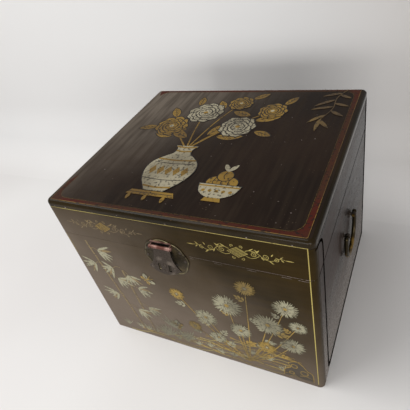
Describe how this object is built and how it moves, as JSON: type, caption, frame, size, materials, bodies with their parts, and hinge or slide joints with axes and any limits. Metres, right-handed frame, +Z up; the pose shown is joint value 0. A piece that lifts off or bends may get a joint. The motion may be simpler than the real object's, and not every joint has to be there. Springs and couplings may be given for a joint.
{
  "type": "lacquer chest",
  "caption": "Square lacquered wooden chest with a hinged lid, a split lock plate with a hasp and staples, and a bail handle on each side.",
  "frame": {"origin": "centre of the footprint, on the surface the chest stands on", "axes": "+Z up, -Y towards the front with the lock plate, +X towards the right-hand side as seen from the front"},
  "size_m": [0.3988, 0.3577, 0.302],
  "materials": {
    "lacquer_front": "satin",
    "lacquer_top": "satin",
    "lacquer_side": "satin",
    "lacquer_inside": "matt",
    "dark_bronze": "aged",
    "copper": "worn",
    "brass": "aged"
  },
  "bodies": {
    "carcase": {"back_board": "lacquer_side", "bottom_board": "lacquer_inside", "front_board": "lacquer_front", "hinge_leaf_body_left": "dark_bronze", "hinge_leaf_body_right": "dark_bronze", "hinge_nail_body_left_inner": "dark_bronze", "hinge_nail_body_left_outer": "dark_bronze", "hinge_nail_body_right_inner": "dark_bronze", "hinge_nail_body_right_outer": "dark_bronze", "hinge_pin_left": "dark_bronze", "hinge_pin_right": "dark_bronze", "left_side_board": "lacquer_side", "lock_nail_bottom": "dark_bronze", "lock_nail_left": "dark_bronze", "lock_nail_right": "dark_bronze", "lock_plate_lower": "dark_bronze", "post_left_back": "dark_bronze", "post_left_front": "dark_bronze", "post_right_back": "dark_bronze", "post_right_front": "dark_bronze", "right_side_board": "lacquer_side", "rosette_left_back": "dark_bronze", "rosette_left_front": "dark_bronze", "rosette_right_back": "dark_bronze", "rosette_right_front": "dark_bronze", "staple_left": "dark_bronze", "staple_right": "dark_bronze"},
    "lid": {"hasp_bracket": "copper", "hasp_pin": "copper", "hinge_leaf_lid_left": "dark_bronze", "hinge_leaf_lid_right": "dark_bronze", "hinge_nail_lid_left_inner": "dark_bronze", "hinge_nail_lid_left_outer": "dark_bronze", "hinge_nail_lid_right_inner": "dark_bronze", "hinge_nail_lid_right_outer": "dark_bronze", "lid_back_rail": "lacquer_side", "lid_front_rail": "lacquer_front", "lid_left_rail": "lacquer_side", "lid_right_rail": "lacquer_side", "lid_top_panel": "lacquer_top", "lock_nail_upper_left": "dark_bronze", "lock_nail_upper_right": "dark_bronze", "lock_plate_upper": "dark_bronze"},
    "hasp": {"hasp": "dark_bronze"},
    "bail_left": {"bail_left": "brass"},
    "bail_right": {"bail_right": "brass"}
  },
  "joints": [
    {"name": "lid_hinge", "type": "hinge", "parent": "carcase", "child": "lid", "pos_m": [0, 0.1727, 0.2402], "axis": [-1, 0, 0], "range_deg": [0, 110]},
    {"name": "hasp_hinge", "type": "hinge", "parent": "lid", "child": "hasp", "pos_m": [-0.007, -0.1746, 0.2545], "axis": [-1, 0, 0], "range_deg": [-12, 171]},
    {"name": "bail_left_hinge", "type": "hinge", "parent": "carcase", "child": "bail_left", "pos_m": [-0.1956, 0, 0.172], "axis": [0, 1, 0], "range_deg": [-2, 182]},
    {"name": "bail_right_hinge", "type": "hinge", "parent": "carcase", "child": "bail_right", "pos_m": [0.1956, 0, 0.172], "axis": [0, -1, 0], "range_deg": [-2, 182]}
  ]
}
